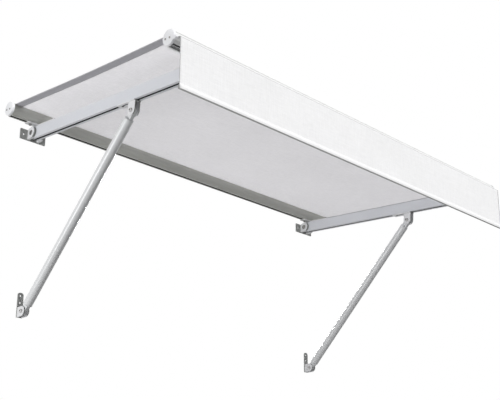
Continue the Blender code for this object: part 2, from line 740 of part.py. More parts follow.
def t_plate_outline(stem_side):
    """T-shaped plate in x and y about the middle of its bar. The stem runs to stem_side * y."""
    half_bar, half_width = PLATE_BAR_LENGTH / 2, PLATE_BAR_WIDTH / 2
    half_stem = RAIL_WIDTH / 2
    end = half_width + PLATE_STEM_LENGTH
    cut = PLATE_CORNER
    right = [(half_stem - cut, end), (half_stem, end - cut), (half_stem, half_width + cut),
             (half_stem + cut, half_width), (half_bar - cut, half_width),
             (half_bar, half_width - cut), (half_bar, -half_width + cut),
             (half_bar - cut, -half_width)]
    left = [(-px, py) for px, py in reversed(right)]
    return [(px, stem_side * py) for px, py in right + left]


def make_t_plate(name, x, reach, stem_side, canopy):
    """The plate between a rail and a tube, with two bolts in the tube and one in the rail."""
    low = RAIL_TOP + FIT
    high = low + PLATE_THICKNESS
    half_spread = PLATE_BOLT_SPREAD / 2
    stem_y = stem_side * (PLATE_BAR_WIDTH / 2 + PLATE_STEM_LENGTH - PLATE_STEM_BOLT_INSET)
    holes = [(-half_spread, 0), (half_spread, 0), (0, stem_y)]
    drawing = [t_plate_outline(stem_side)] + [circle(h, PLATE_BOLT_HOLE, 12) for h in holes]
    extrude(name, drawing, low, high, at(x, -reach, 0), "white_coat", canopy)

    foot = TUBE_AXIS_HEIGHT - FOOT_DEPTH
    across = Matrix.Rotation(math.pi / 2, 4, "Z")
    head_top = foot + FOOT_SLOT_LIP + FIT + HAMMER_HEIGHT
    bolt = hammer_bolt_mesh("tube_bolt", PLATE_BOLT_RADIUS, PLATE_NUT_FLATS, PLATE_NUT_HEIGHT,
                            head_top, low - FIT, low - FIT - PLATE_NUT_HEIGHT - NUT_OVERRUN)
    for number, (px, py) in enumerate(holes[:2], 1):
        mesh_object(f"{name}_tube_bolt_{number}", bolt.copy(), "steel", canopy,
                    at(x + px, -reach, 0, across))
    over = Matrix.Rotation(math.pi, 4, "X")
    seat = high + FIT
    head_end = RAIL_TOP - SLOT_LIP - FIT - HAMMER_HEIGHT
    stem = hammer_bolt_mesh("rail_bolt", PLATE_BOLT_RADIUS, PLATE_NUT_FLATS, PLATE_NUT_HEIGHT,
                            -head_end, -seat, -seat - PLATE_NUT_HEIGHT - NUT_OVERRUN)
    mesh_object(f"{name}_rail_bolt", stem, "steel", canopy, at(x, -reach + stem_y, 0, over))


def make_cloth(canopy):
    """The stretched cloth, with a welded bead in a groove of each tube and hemmed sides."""
    height = TUBE_AXIS_HEIGHT + CLOTH_HEIGHT
    rear = (-REAR_TUBE_REACH - GROOVE_CENTRE, height)
    front = (-FRONT_TUBE_REACH + GROOVE_CENTRE, height)
    open_angle = math.asin(CLOTH_THICKNESS / 2 / CLOTH_BEAD_RADIUS)
    step = math.radians(30)
    outline = arc(rear, CLOTH_BEAD_RADIUS, -math.pi + open_angle, math.pi - open_angle, step)
    outline += arc(front, CLOTH_BEAD_RADIUS, open_angle, 2 * math.pi - open_angle, step)
    half = TUBE_LENGTH / 2 - CLOTH_END_GAP
    cloth = extrude("fabric_cover", [outline], -half, half, ALONG_X, "cloth", canopy)
    inset = GROOVE_RADIUS + GROOVE_LIP + HEM_END_GAP
    low, high = front[0] + inset, rear[0] - inset
    for name, side in SIDES:
        ends = sorted((side * half, side * (half - HEM_WIDTH)))
        hem = box_tool((ends[0], low, height - CLOTH_THICKNESS / 2 - HEM_THICKNESS),
                       (ends[1], high, height), canopy)
        combine(cloth, hem, "UNION")


def ribbon_outline(path, thickness, bead_radius):
    """Both sides of a thin strip along path, whose first point is the centre of a round bead."""
    left, right = [], []
    for i in range(1, len(path)):
        after = path[min(i + 1, len(path) - 1)]
        before = path[i - 1]
        run = (after[0] - before[0], after[1] - before[1])
        length = math.hypot(*run)
        normal = (-run[1] / length * thickness / 2, run[0] / length * thickness / 2)
        left.append((path[i][0] + normal[0], path[i][1] + normal[1]))
        right.append((path[i][0] - normal[0], path[i][1] - normal[1]))
    turn = math.atan2(path[1][1] - path[0][1], path[1][0] - path[0][0])
    open_angle = math.asin(thickness / 2 / bead_radius)
    bead = arc(path[0], bead_radius, turn + open_angle, turn + 2 * math.pi - open_angle,
               math.radians(30))
    return bead + right + left[::-1]


def make_valance(canopy):
    """The valance: a bead in the front tube's nose, a straight drop and a pocket for a bar."""
    centre_y = -FRONT_TUBE_REACH - NOSE_REACH
    centre_z = TUBE_AXIS_HEIGHT - NOSE_DROP
    hang = make_frame("valance_line", (0, centre_y, centre_z), -CANOPY_SLOPE, canopy)
    heading = math.pi + CANOPY_SLOPE
    lip = NOSE_RADIUS
    start = (lip * math.cos(heading), lip * math.sin(heading))
    bend = VALANCE_STAND_OFF
    centre = (start[0] + bend * math.cos(heading + math.pi / 2),
              start[1] + bend * math.sin(heading + math.pi / 2))
    path = [(0.0, 0.0), start]
    path += arc(centre, bend, heading - math.pi / 2, math.pi, math.radians(20))[1:]
    face = path[-1][0]
    bottom = -VALANCE_DROP
    pocket_top = bottom + VALANCE_POCKET_HEIGHT
    path.append((face, pocket_top - CLOTH_THICKNESS / 2))
    half = TUBE_LENGTH / 2 - CLOTH_END_GAP
    outline = ribbon_outline(path, CLOTH_THICKNESS, CLOTH_BEAD_RADIUS)
    valance = extrude("valance", [outline], -half, half, ALONG_X, "valance", hang)
    half_depth = VALANCE_POCKET_DEPTH / 2
    outside = rounded_rectangle((face - half_depth, bottom), (face + half_depth, pocket_top),
                                half_depth * FULL_ROUND)
    play = CLOTH_PLAY / 2
    middle = (bottom + pocket_top) / 2
    bar_low = (face - BAR_DEPTH / 2, middle - BAR_HEIGHT / 2)
    bar_high = (face + BAR_DEPTH / 2, middle + BAR_HEIGHT / 2)
    hole = rounded_rectangle((bar_low[0] - play, bar_low[1] - play),
                             (bar_high[0] + play, bar_high[1] + play), BAR_CORNER + play)
    pocket = extrude("tool", [outside, hole], -half, half, ALONG_X, "valance", hang, CUTTERS)
    combine(valance, pocket, "UNION")
    bar = rounded_rectangle(bar_low, bar_high, BAR_CORNER)
    extrude("valance_weight_bar", [bar], -half + CLOTH_END_GAP, half - CLOTH_END_GAP,
            ALONG_X, "steel", hang)


def make_upper_bracket(name, x, wall):
    """A cast wall plate with two thick round ears, recessed for the bolt's head and nut."""
    high = WALL_TO_UPPER_PIVOT
    low = high - UPPER_PLATE_THICKNESS
    half = UPPER_PLATE_LENGTH / 2
    plate = rounded_rectangle((-half, -UPPER_PLATE_BOTTOM), (half, UPPER_PLATE_TOP),
                              UPPER_PLATE_CORNER)
    bracket = extrude(name, [plate], -high, -low, at(x, 0, 0, ALONG_Y), "bracket", wall)
    bore = circle((0, 0), UPPER_BOLT_RADIUS + PIVOT_PLAY)
    root = low + UPPER_PLATE_THICKNESS / 2
    outline = ear_outline(root, UPPER_EAR_RADIUS, -UPPER_EAR_RADIUS,
                          UPPER_PLATE_TOP - UPPER_PLATE_CORNER)
    outer = UPPER_EAR_GAP / 2 + UPPER_EAR_THICKNESS
    for side in (-1, 1):
        ends = sorted((side * UPPER_EAR_GAP / 2, side * outer))
        ear = extrude("tool", [outline, bore], ends[0], ends[1], at(x, 0, 0, ALONG_X),
                      "bracket", wall, CUTTERS)
        combine(bracket, ear, "UNION")
        drill(bracket, UPPER_RECESS_RADIUS, outer - UPPER_RECESS_DEPTH, outer + FIT,
              at(x, 0, 0, outward(side)), wall)
    hole_z = (UPPER_PLATE_TOP - UPPER_PLATE_BOTTOM) / 2
    for side in (-1, 1):
        place = at(x + side * UPPER_HOLE_SPREAD / 2, low, hole_z, ALONG_Y)
        countersink(bracket, UPPER_PLATE_THICKNESS, place, wall)
    shade(bracket)


def make_upper_bolt(name, x, side, wall):
    grip = UPPER_EAR_GAP + 2 * (UPPER_EAR_THICKNESS - UPPER_RECESS_DEPTH) + 2 * FIT
    mesh = through_bolt_mesh(name, UPPER_BOLT_RADIUS, UPPER_BOLT_FLATS, grip)
    mesh_object(name, mesh, "steel", wall, at(x, 0, 0, outward(side)))


def clevis_ears(item, root, matrix, parent):
    """Joins the two ears of a strut clevis to item. Their roots lie root away along +u."""
    bore = circle((0, 0), CLEVIS_BOLT_RADIUS + PIVOT_PLAY)
    outline = ear_outline(root, CLEVIS_EAR_RADIUS, -CLEVIS_EAR_RADIUS, CLEVIS_EAR_RADIUS)
    for side in (-1, 1):
        inner = CLEVIS_GAP / 2
        ends = sorted((side * inner, side * (inner + CLEVIS_EAR_THICKNESS)))
        ear = extrude("tool", [outline, bore], ends[0], ends[1], matrix, "bracket", parent,
                      CUTTERS)
        combine(item, ear, "UNION")


def make_clevis_bolt(name, side, parent):
    grip = CLEVIS_GAP + 2 * CLEVIS_EAR_THICKNESS + 2 * FIT
    mesh = through_bolt_mesh(name, CLEVIS_BOLT_RADIUS, CLEVIS_BOLT_FLATS, grip)
    mesh_object(name, mesh, "steel", parent, outward(side))


def make_slider(name, slider):
    """The clevis under the rail: a slotted flange with two ears, drawn about its pivot."""
    top = SLIDER_DROP - FIT
    low = top - SLIDER_FLANGE_THICKNESS
    half = RAIL_WIDTH / 2
    outline = rounded_rectangle((-half, -CLEVIS_EAR_RADIUS), (half, SLIDER_FLANGE_TAIL),
                                SLIDER_CORNER)
    half_slot = SLIDER_SLOT_WIDTH / 2
    slot = rounded_rectangle((-half_slot, SLIDER_SLOT_START),
                             (half_slot, SLIDER_SLOT_START + SLIDER_SLOT_LENGTH),
                             half_slot * FULL_ROUND)
    bore = circle((0, 0), SLIDER_BOLT_RADIUS + PIVOT_PLAY)
    item = extrude(name, [outline, slot, bore], low, top, ALONG_Z, "bracket", slider)
    upright = ALONG_X @ Matrix.Rotation(math.pi / 2, 4, "Z")
    clevis_ears(item, low + SLIDER_FLANGE_THICKNESS / 2, upright, slider)
    shade(item)


def make_slider_bolt(name, slider):
    """The T-bolt that clamps the slider to the rail, between the ears."""
    head_top = SLIDER_DROP + SLOT_LIP + FIT + HAMMER_HEIGHT
    seat = SLIDER_DROP - SLIDER_FLANGE_THICKNESS - 2 * FIT
    end = seat - SLIDER_NUT_HEIGHT - NUT_OVERRUN
    mesh = hammer_bolt_mesh(name, SLIDER_BOLT_RADIUS, SLIDER_NUT_FLATS, SLIDER_NUT_HEIGHT,
                            head_top, seat, end)
    mesh_object(name, mesh, "steel", slider)


def make_strut_end(name, strut, matrix):
    """A strut's cast end: a tongue about the pivot, a shoulder, and a plug in the tube."""
    shoulder = STRUT_END_INSET - STRUT_COLLAR
    collar_end = STRUT_END_INSET - FIT
    plug_radius = STRUT_RADIUS - STRUT_WALL - FIT
    plug_end = STRUT_END_INSET + STRUT_PLUG_LENGTH
    crown = -shoulder + STRUT_CROWN_HEIGHT
    profile = [(0, crown), (STRUT_CROWN_RADIUS, crown),
               (STRUT_RADIUS, -shoulder), (STRUT_RADIUS, -collar_end),
               (plug_radius, -collar_end), (plug_radius, -plug_end + PLUG_CHAMFER),
               (plug_radius - PLUG_CHAMFER, -plug_end), (0, -plug_end)]
    item = mesh_object(name, turned_mesh(name, profile, STRUT_SIDES), "casting", strut, matrix)
    tongue = ear_outline(shoulder, TONGUE_RADIUS, -TONGUE_RADIUS, TONGUE_RADIUS)
    bore = circle((0, 0), CLEVIS_BOLT_RADIUS + PIVOT_PLAY)
    hanging = matrix @ ALONG_X @ Matrix.Rotation(-math.pi / 2, 4, "Z")
    body = extrude("tool", [tongue, bore], -TONGUE_THICKNESS / 2, TONGUE_THICKNESS / 2,
                   hanging, "casting", strut, CUTTERS)
    combine(item, body, "UNION")
    shade(item)


def make_strut(name, strut, length):
    """The strut tube and both its ends, hanging down -z from the upper pivot."""
    rings = [circle((0, 0), STRUT_RADIUS, STRUT_SIDES),
             circle((0, 0), STRUT_RADIUS - STRUT_WALL, STRUT_SIDES)]
    tube = extrude(f"strut_tube_{name}", rings, -length + STRUT_END_INSET, -STRUT_END_INSET,
                   ALONG_Z, "strut", strut)
    shade(tube)
    make_strut_end(f"strut_head_{name}", strut, ALONG_Z)
    foot = at(0, 0, -length, Matrix.Rotation(math.pi, 4, "X"))
    make_strut_end(f"strut_foot_{name}", strut, foot)


def make_lower_bracket(name, wall):
    """The strut's wall bracket: a narrow plate with two screw holes above two ears."""
    high = WALL_TO_LOWER_PIVOT
    low = high - LOWER_PLATE_THICKNESS
    half = LOWER_PLATE_WIDTH / 2
    corner = LOWER_PLATE_CORNER
    base = -CLEVIS_EAR_RADIUS
    plate = [(-half, base), (half, base)]
    plate += arc((half - corner, LOWER_PLATE_RISE - corner), corner, 0, math.pi / 2)
    plate += arc((-half + corner, LOWER_PLATE_RISE - corner), corner, math.pi / 2, math.pi)
    bracket = extrude(name, [plate], -high, -low, ALONG_Y, "bracket", wall)
    clevis_ears(bracket, low + LOWER_PLATE_THICKNESS / 2, ALONG_X, wall)
    for height in LOWER_HOLES:
        countersink(bracket, LOWER_PLATE_THICKNESS, at(0, low, height, ALONG_Y), wall)
    shade(bracket)


def build():
    canopy = make_frame("canopy_frame", UPPER_PIVOT, CANOPY_SLOPE)
    wall = make_frame("wall_frame", UPPER_PIVOT)
    tubes = (("rear", REAR_TUBE_REACH, False), ("front", FRONT_TUBE_REACH, True))
    for place, reach, with_nose in tubes:
        make_tube(f"{place}_tube", reach, with_nose, canopy)
        for side_name, side in SIDES:
            make_cap(f"{place}_cap_{side_name}", reach, side, with_nose, canopy)
    make_cloth(canopy)
    make_valance(canopy)
    for side_name, side in SIDES:
        x = side * RAIL_SPACING / 2
        make_rail(f"rail_{side_name}", x, canopy)
        make_knuckle(f"rail_knuckle_{side_name}", x, canopy)
        make_rail_cap(f"rail_cap_{side_name}", x, canopy)
        make_t_plate(f"rear_plate_{side_name}", x, REAR_TUBE_REACH, -1, canopy)
        make_t_plate(f"front_plate_{side_name}", x, FRONT_TUBE_REACH, 1, canopy)
        make_upper_bracket(f"upper_bracket_{side_name}", x, wall)
        make_upper_bolt(f"upper_bolt_{side_name}", x, side, wall)

        slider = make_frame(f"slider_frame_{side_name}", (x, -SLIDER_REACH, SLIDER_PIVOT_HEIGHT),
                            0.0, canopy)
        make_slider(f"slider_{side_name}", slider)
        make_slider_bolt(f"slider_clamp_bolt_{side_name}", slider)
        make_clevis_bolt(f"slider_bolt_{side_name}", side, slider)

        head = slider.matrix_world.translation
        foot = Vector((x, LOWER_PIVOT.y, LOWER_PIVOT.z))
        run = foot - head
        strut = make_frame(f"strut_frame_{side_name}", head, math.atan2(run.y, -run.z))
        make_strut(side_name, strut, run.length)
        lower = make_frame(f"lower_frame_{side_name}", foot)
        make_lower_bracket(f"lower_bracket_{side_name}", lower)
        make_clevis_bolt(f"lower_bolt_{side_name}", side, lower)


build()
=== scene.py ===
"""Studio view of the fabric awning: its cloths, materials, lights and camera.

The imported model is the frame. The canopy's own frame has its x axis on the line through both
upper pivots, -y down the slope and z square to the cloth, and every cloth is drawn in it.
Lengths are in metres.
"""
import json
import math

import bmesh
import bpy
from mathutils import Matrix, Vector, noise


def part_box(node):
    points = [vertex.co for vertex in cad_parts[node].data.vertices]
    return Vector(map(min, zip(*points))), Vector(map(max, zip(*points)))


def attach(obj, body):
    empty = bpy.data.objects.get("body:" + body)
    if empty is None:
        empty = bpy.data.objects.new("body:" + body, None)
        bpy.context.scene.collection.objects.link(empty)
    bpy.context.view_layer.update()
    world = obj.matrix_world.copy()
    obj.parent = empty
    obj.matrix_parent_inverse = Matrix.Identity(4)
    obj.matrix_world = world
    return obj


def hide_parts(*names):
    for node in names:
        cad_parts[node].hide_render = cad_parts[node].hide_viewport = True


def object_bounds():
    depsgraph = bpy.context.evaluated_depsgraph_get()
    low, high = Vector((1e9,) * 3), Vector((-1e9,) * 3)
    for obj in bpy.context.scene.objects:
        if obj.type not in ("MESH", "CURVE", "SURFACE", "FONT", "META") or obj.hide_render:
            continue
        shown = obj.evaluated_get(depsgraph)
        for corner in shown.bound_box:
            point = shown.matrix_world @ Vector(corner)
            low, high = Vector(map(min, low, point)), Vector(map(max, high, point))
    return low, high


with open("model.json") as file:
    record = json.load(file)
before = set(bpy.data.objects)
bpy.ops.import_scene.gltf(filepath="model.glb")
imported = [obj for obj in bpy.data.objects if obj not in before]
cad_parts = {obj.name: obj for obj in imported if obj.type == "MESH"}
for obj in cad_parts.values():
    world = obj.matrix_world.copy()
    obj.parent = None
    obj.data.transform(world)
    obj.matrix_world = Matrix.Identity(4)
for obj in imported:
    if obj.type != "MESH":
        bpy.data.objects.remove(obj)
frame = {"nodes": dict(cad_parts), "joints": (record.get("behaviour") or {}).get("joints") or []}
CAD_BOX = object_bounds()
NODES = frame["nodes"]

X, Y, Z = 0, 1, 2

# Camera, fitted to the photograph: it looks up at the awning from its left and front. The
# lens and the sensor are in millimetres.
CAMERA_PLACE = (-2.7439, -3.1769, -1.6381)
CAMERA_HEADING = math.radians(45.064)
CAMERA_PITCH = math.radians(17.636)
CAMERA_LENS = 67.57
CAMERA_SENSOR = 36.0
CAMERA_SHIFT = 0.10

# Floor and world. Each is pale where it is seen, and sends less light to the awning than that.
FLOOR_DROP = 2.40
FLOOR_SIZE = 40.0
FLOOR_ROUGHNESS = 0.9
FLOOR_SEEN = 0.92
FLOOR_BOUNCE = 0.21
WORLD_SEEN = 1.0
WORLD_LEVEL = 0.26

# The key is a softbox low on the left, which lights the left sides of the rails and struts.
# At level 1, a lamp shows the colour of a face square to it as it is written.
KEY_LEVEL = 0.54
KEY_PLACE = (-4.5, 0.15, -1.20)
KEY_TARGET = (-0.30, -0.50, -0.35)
KEY_SIZE = 1.4

# Suns, as name, level, the direction that the light comes from and its width in degrees. The
# front one lights the valance, the top one the cloth, and the fill comes from the wall's side.
SUNS = (
    ("front", 0.92, (0.0, -0.79, 0.62), 5.0),
    ("top", 0.10, (0.0, -0.20, 1.0), 8.0),
    ("fill", 0.42, (0.58, 0.74, 0.35), 10.0),
)

# The inside of the rails in the canopy frame, painted dark as shade: half width, lowest and
# highest point
HOLLOW_HALF = 0.0152
HOLLOW_LOW = -0.0226
HOLLOW_HIGH = 0.0266

# The tubes' foot slot, painted dark as shade: half width, lowest and highest point about the
# tube's axis, and mouth
SLOT_HALF = 0.0105
SLOT_LOW = -0.0291
SLOT_HIGH = -0.0209
SLOT_MOUTH_HALF = 0.0066
# Painted shade: the dark colour mixed into the inside of the rails and the tubes' foot slots
SLOT_PAINTED_SHADE = (0.012, 0.012, 0.012)

# Bolts: the sockets in their heads, painted as dark spots of shade, and the yellowish patches of
# their zinc. Each left bolt's mirror image on the right has the same y and z.
SOCKET_BOLTS = ("slider_bolt_left", "lower_bolt_left")
SOCKET_RADIUS = 0.0030
SOCKET_SHADE = (0.05, 0.05, 0.05)
ZINC_YELLOW = (0.60, 0.56, 0.42)

# Brackets: faces whose normal's y is below EDGE_FACING are painted darker as shade, and what lies
# behind PLATE_FRONT is the plate on the wall, at y = 0, which is painted darker as shade too
EDGE_FACING = -0.45
EDGE_PAINTED_SHADE = (0.26, 0.27, 0.255)
PLATE_FRONT = -0.0062
PLATE_PAINTED_SHADE = (0.42, 0.43, 0.42)

# Slightly broken edges of the rigid pieces
MERGE_DISTANCE = 0.00001
BROKEN_EDGE = 0.0004
FASTENER_EDGE = 0.0002
EDGE_SEGMENTS = 2
EDGE_ANGLE = math.radians(32)

# The tubes' axes, cloth grooves and nose in the canopy frame
AXIS_HEIGHT = 0.0606
REAR_REACH = 0.018
GROOVE_FROM_AXIS = 0.01634
CLOTH_ABOVE_AXIS = 0.0164
NOSE_REACH = 0.0340
NOSE_DROP = 0.0070
NOSE_RADIUS = 0.0070

# Weave: the pitch of the cloths' threads, and of the twist in the stitches' thread
WEAVE_PITCH = 0.0012
TWIST_PITCH = 0.0006

# Round beads welded to the cloths' edges
BEAD_RADIUS = 0.0032
BEAD_SIDES = 18

# Cover: it sags between the tubes, puckers near them and narrows a little in its middle. The
# puckers' pitch drifts, and the softness is a slow unevenness. Both fade where a tube holds it.
COVER_THICKNESS = 0.0008
COVER_COLUMNS = 220
COVER_ROWS = 120
COVER_SAG = 0.0025
EDGE_PULL = 0.0020
HELD_REACH = 0.03
PUCKER = 0.0006
PUCKER_PITCH = 0.083
PUCKER_REACH = 0.10
PUCKER_DRIFT = 1.7
PUCKER_DRIFT_RATE = 9.0
SOFTNESS = 0.0012
SOFTNESS_SCALE = 2.2
SOFTNESS_SEED = 0.7

# Side hems under the cover
HEM_WIDTH = 0.035
HEM_THICKNESS = 0.0006
HEM_GAP = 0.00008
HEM_COLUMNS = 8
HEM_SIDE_INSET = 0.0004
HEM_END_INSET = 0.008

# Valance: its line starts inside the bead, at BEAD_OVERLAP of the radius, bends below the nose
# and drops with a slight ripple to the weight bar's pocket. Powers below 1 turn the pocket's
# ellipse towards a rectangle. The bead, the nose and the pocket take up some of the cloth.
VALANCE_THICKNESS = 0.0009
VALANCE_COLUMNS = 160
VALANCE_ROWS = 24
BEAD_OVERLAP = 0.9
BEND_RADIUS = 0.0031
BEND_STEPS = 6
RIPPLE = 0.0007
WIDE_WAVE_RATE = 7.3
WIDE_WAVE_START = 0.8
NARROW_WAVE_RATE = 17.1
NARROW_WAVE_LEAN = 6.0
NARROW_WAVE_SHARE = 0.6
POCKET_HEIGHT = 0.0160
POCKET_DEPTH = 0.0058
POCKET_FILLED = 0.92
POCKET_SIDES = 16
POCKET_POWER_ACROSS = 0.6
POCKET_POWER_UP = 0.8

# The valance's painted shade: dark lines for the shade in the crease below the nose and on the cut
# edges
CREASE_WIDTH = 0.0022
CREASE_DROP = 0.0050
EDGE_WIDTH = 0.0020
RIGHT_EDGE_WIDTH = 0.0042
LINE_SHADE_SHARE = 0.55
LINE_SHADE_COLOUR = (0.10, 0.10, 0.11)

# Lockstitches. Each ring of a stitch has its place as a share of the length, and its girth and
# its rise above the cloth as shares of the radius. The end rings dip into the cloth.
STITCH_LENGTH = 0.0030
STITCH_PITCH = 0.0040
STITCH_RADIUS = 0.00028
STITCH_SIDES = 6
STITCH_RINGS = ((-0.5, 0.4, -0.4), (-0.25, 1.0, 0.3), (0.25, 1.0, 0.3), (0.5, 0.4, -0.4))
COVER_STITCH_INSET = 0.003
COVER_STITCH_START = 0.02
VALANCE_STITCH_RISE = 0.002
VALANCE_STITCH_START = 0.01


def middle(node):
    """The middle of a node's box at rest."""
    low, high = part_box(node)
    return (low + high) / 2


# Places that follow from the frame
PIVOT = Vector(next(j["pos_m"] for j in frame["joints"] if j["name"] == "canopy_tilt"))
RUN = middle("front_tube") - middle("rear_tube")
SLOPE = math.atan2(-RUN.z, -RUN.y)
CANOPY = Matrix.Translation(PIVOT) @ Matrix.Rotation(SLOPE, 4, "X")
RAIL_PLACE = middle("rail_right").x
COVER_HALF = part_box("fabric_cover")[1].x
COVER_HEIGHT = AXIS_HEIGHT + CLOTH_ABOVE_AXIS
COVER_REAR = -REAR_REACH - GROOVE_FROM_AXIS
COVER_FRONT = -REAR_REACH - RUN.length + GROOVE_FROM_AXIS
COVER_LENGTH = COVER_REAR - COVER_FRONT
VALANCE_LOW, VALANCE_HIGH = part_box("valance")
CREASE_TOP = VALANCE_HIGH.z - CREASE_DROP


# Materials


class Paint:
    """One material's node tree, with short ways to add what its surface needs."""

    def __init__(self, name, colour, roughness, metallic=0.0):
        self.material = bpy.data.materials.new(name)
        self.material.use_nodes = True
        self.material.diffuse_color = (*colour, 1.0)
        self.tree = self.material.node_tree
        self.shader = self.tree.nodes["Principled BSDF"]
        self.shader.inputs["Roughness"].default_value = roughness
        self.shader.inputs["Metallic"].default_value = metallic
        self.colour = self.constant(colour)
        self.roughness = roughness
        self.place = self.node("ShaderNodeTexCoord").outputs["Object"]
        self.height = None

    def node(self, kind, **settings):
        made = self.tree.nodes.new(kind)
        for key, value in settings.items():
            setattr(made, key, value)
        return made

    def join(self, source, target):
        self.tree.links.new(source, target)

    def constant(self, colour):
        made = self.node("ShaderNodeRGB")
        made.outputs[0].default_value = (*colour, 1.0)
        return made.outputs[0]

    def noise(self, scale, stretch=(1, 1, 1), detail=2.0, roughness=0.5):
        """A noise value from 0 to 1, its features scaled apart along x, y and z by stretch."""
        mapping = self.node("ShaderNodeMapping")
        mapping.inputs["Scale"].default_value = stretch
        self.join(self.place, mapping.inputs["Vector"])
        texture = self.node("ShaderNodeTexNoise")
        texture.inputs["Scale"].default_value = scale
        texture.inputs["Detail"].default_value = detail
        texture.inputs["Roughness"].default_value = roughness
        self.join(mapping.outputs[0], texture.inputs["Vector"])
        return texture.outputs["Fac"]

    def streaks(self, axis, scale, stretch, detail):
        """Noise drawn out along an axis, such as a die's lines or a cloth's threads."""
        stretches = [1.0, 1.0, 1.0]
        stretches[axis] = stretch
        return self.noise(scale, stretches, detail)

    def split(self, vector):
        """The x, y and z of a vector, as sockets."""
        made = self.node("ShaderNodeSeparateXYZ")
        self.join(vector, made.inputs[0])
        return made.outputs

    def maths(self, operation, first, second=0.0, third=0.0):
        made = self.node("ShaderNodeMath", operation=operation)
        for socket, value in zip(made.inputs, (first, second, third)):
            if isinstance(value, (int, float)):
                socket.default_value = value
            else:
                self.join(value, socket)
        return made.outputs[0]

    def bands(self, axis, pitch):
        """A sine of the place along x, y or z, one wave to each pitch, from 0 to 1."""
        turned = self.maths("MULTIPLY", self.split(self.place)[axis], 2 * math.pi / pitch)
        wave = self.maths("SINE", turned, 0.0)
        return self.maths("MULTIPLY_ADD", wave, 0.5, 0.5)

    def measure(self, axis):
        """The place's coordinate along an axis of the canopy frame."""
        shift = self.node("ShaderNodeVectorMath", operation="SUBTRACT")
        self.join(self.place, shift.inputs[0])
        shift.inputs[1].default_value = PIVOT
        share = self.node("ShaderNodeVectorMath", operation="DOT_PRODUCT")
        self.join(shift.outputs[0], share.inputs[0])
        share.inputs[1].default_value = CANOPY.col[axis].xyz
        return share.outputs["Value"]

    def between(self, value, low, high):
        """1 where the value lies from low to high, and 0 elsewhere."""
        return self.maths("COMPARE", value, (low + high) / 2, (high - low) / 2)

    def about_pair(self, value, middle_place, half_gap):
        """The value's distance from the nearer of two places, half_gap to each side."""
        away = self.maths("ABSOLUTE", self.maths("SUBTRACT", value, middle_place))
        return self.maths("SUBTRACT", away, half_gap)

    def spread(self, value, low, high, start=0.3, end=0.7):
        """The value from start to end, where most of a noise lies, spread over low to high."""
        made = self.node("ShaderNodeMapRange")
        made.inputs["From Min"].default_value = start
        made.inputs["From Max"].default_value = end
        made.inputs["To Min"].default_value = low
        made.inputs["To Max"].default_value = high
        self.join(value, made.inputs["Value"])
        return made.outputs[0]

    def tint(self, factor, colour):
        """Mixes another colour in by factor."""
        mix = self.node("ShaderNodeMix", data_type="RGBA")
        self.join(factor, mix.inputs["Factor"])
        self.join(self.colour, mix.inputs["A"])
        mix.inputs["B"].default_value = (*colour, 1.0)
        self.colour = mix.outputs["Result"]

    def darken(self, first, second):
        """Darkens the colour where both masks are 1: painted shade inside a slot or a hollow."""
        self.tint(self.maths("MULTIPLY", first, second), SLOT_PAINTED_SHADE)

    def dark_spot(self, node, radius):
        """Darkens the middle of a bolt's head with painted shade, where its socket is."""
        centre = middle(node)
        place = self.split(self.place)
        across = self.maths("SUBTRACT", place[Y], centre.y)
        above = self.maths("SUBTRACT", place[Z], centre.z)
        across_square = self.maths("MULTIPLY", across, across)
        above_square = self.maths("MULTIPLY", above, above)
        away = self.maths("SQRT", self.maths("ADD", across_square, above_square))
        self.tint(self.maths("LESS_THAN", away, radius), SOCKET_SHADE)

    def shade(self, value, amount):
        """Darkens and lightens the colour by up to amount with the value."""
        level = self.spread(value, 1 - amount, 1 + amount)
        mix = self.node("ShaderNodeVectorMath", operation="SCALE")
        self.join(self.colour, mix.inputs[0])
        self.join(level, mix.inputs["Scale"])
        self.colour = mix.outputs[0]

    def gloss(self, value, amount):
        """Varies the roughness by up to amount with the value."""
        level = self.spread(value, self.roughness - amount, self.roughness + amount)
        self.join(level, self.shader.inputs["Roughness"])

    def bump(self, value, depth):
        """Adds relief of the given depth to what there is."""
        made = self.node("ShaderNodeBump")
        made.inputs["Distance"].default_value = depth
        self.join(value, made.inputs["Height"])
        if self.height is not None:
            self.join(self.height, made.inputs["Normal"])
        self.height = made.outputs[0]

    def let_through(self, share):
        """Mixes in cloth that light shines through, by share."""
        behind = self.node("ShaderNodeBsdfTranslucent")
        self.join(self.colour, behind.inputs["Color"])
        self.join(self.height, behind.inputs["Normal"])
        mix = self.node("ShaderNodeMixShader")
        mix.inputs[0].default_value = share
        self.join(self.shader.outputs[0], mix.inputs[1])
        self.join(behind.outputs[0], mix.inputs[2])
        self.join(mix.outputs[0], self.tree.nodes["Material Output"].inputs["Surface"])

    def done(self):
        self.join(self.colour, self.shader.inputs["Base Color"])
        if self.height is not None:
            self.join(self.height, self.shader.inputs["Normal"])
        return self.material


def powder_coat(name, colour, roughness, die_axis=None, hollow=None):
    """A sprayed coat on metal. die_axis is the length of an extrusion, along x or y.

    hollow darkens the inside of a rail or of a tube's foot slot with painted shade.
    """
    paint = Paint(name, colour, roughness)
    paint.shader.inputs["Specular IOR Level"].default_value = 0.45
    paint.shade(paint.noise(scale=5.0, detail=3.0), amount=0.015)
    paint.shade(paint.noise(scale=160.0), amount=0.006)
    paint.gloss(paint.noise(scale=45.0, detail=4.0), amount=0.05)
    paint.bump(paint.noise(scale=700.0), depth=0.000008)
    if die_axis is not None:
        lines = paint.streaks(die_axis, scale=420.0, stretch=0.004, detail=3.0)
        paint.bump(lines, depth=0.00005)
        paint.shade(lines, amount=0.012)
    if hollow == "rail":
        darken_rail_inside(paint)
    if hollow == "tube":
        darken_foot_slots(paint)
    return paint.done()


def darken_rail_inside(paint):
    """Darkens the hollow middle of both rails with painted shade."""
    across = paint.about_pair(paint.measure(X), 0.0, RAIL_PLACE)
    paint.darken(paint.between(across, -HOLLOW_HALF, HOLLOW_HALF),
                 paint.between(paint.measure(Z), HOLLOW_LOW, HOLLOW_HIGH))


